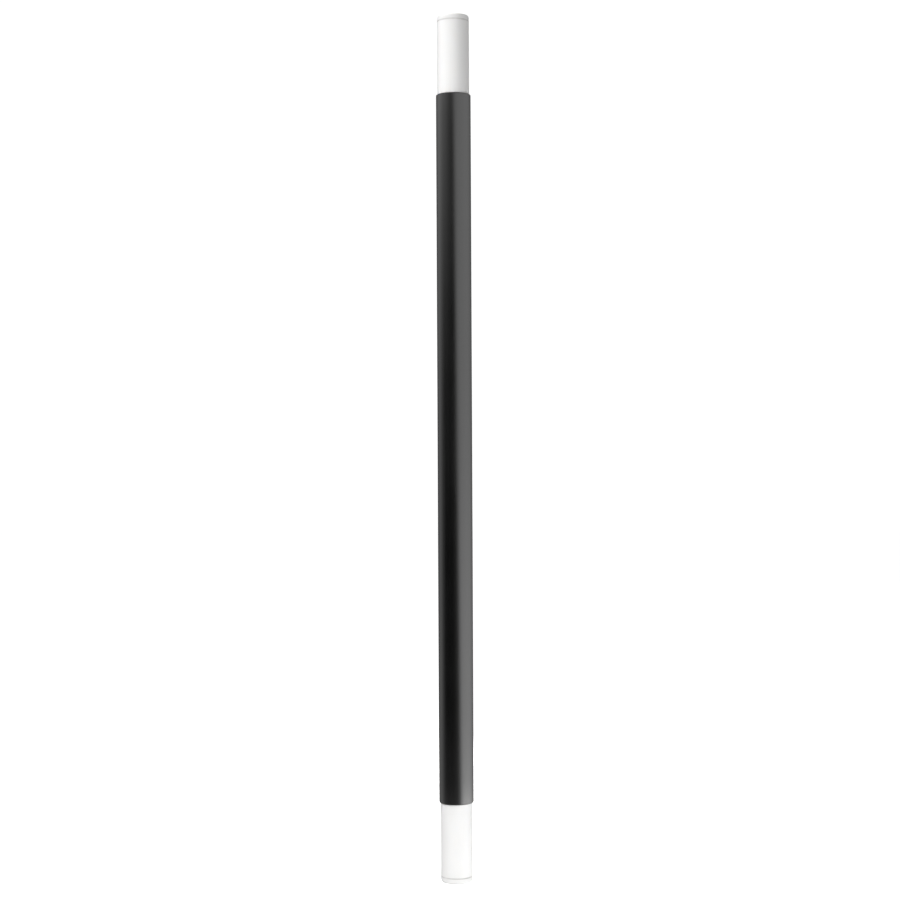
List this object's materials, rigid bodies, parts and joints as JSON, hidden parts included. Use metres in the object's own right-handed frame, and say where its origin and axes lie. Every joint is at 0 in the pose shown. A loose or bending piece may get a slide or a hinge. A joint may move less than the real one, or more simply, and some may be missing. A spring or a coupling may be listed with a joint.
{
  "type": "magic wand",
  "caption": "Magician's wand: a black plastic tube with narrower white push-in tips and rounded end caps.",
  "frame": {"origin": "middle of the black tube, on its axis, which is also the middle of the whole wand and its balance point", "axes": "+Z along the wand from the lower tip to the upper tip; X and Y are any two directions across it"},
  "size_m": [0.012, 0.012, 0.3],
  "materials": {
    "tube_black": "satin gloss extruded plastic, fine lines along the tube",
    "tip_white": "semi-gloss moulded plastic",
    "cap_white": "semi-gloss moulded plastic, a little duller than the tips"
  },
  "bodies": {
    "shaft": {"shaft_tube": "tube_black"},
    "upper_tip": {"upper_tip": "tip_white"},
    "lower_tip": {"lower_tip": "tip_white"},
    "upper_cap": {"upper_end_cap": "cap_white"},
    "lower_cap": {"lower_end_cap": "cap_white"}
  },
  "joints": [
    {"name": "upper_tip_pull", "type": "slide", "parent": "shaft", "child": "upper_tip", "axis": [0, 0, 1], "range_m": [0, 0.02]},
    {"name": "lower_tip_pull", "type": "slide", "parent": "shaft", "child": "lower_tip", "axis": [0, 0, -1], "range_m": [0, 0.02]},
    {"name": "upper_cap_pull", "type": "slide", "parent": "upper_tip", "child": "upper_cap", "axis": [0, 0, 1], "range_m": [0, 0.01]},
    {"name": "lower_cap_pull", "type": "slide", "parent": "lower_tip", "child": "lower_cap", "axis": [0, 0, -1], "range_m": [0, 0.01]}
  ]
}
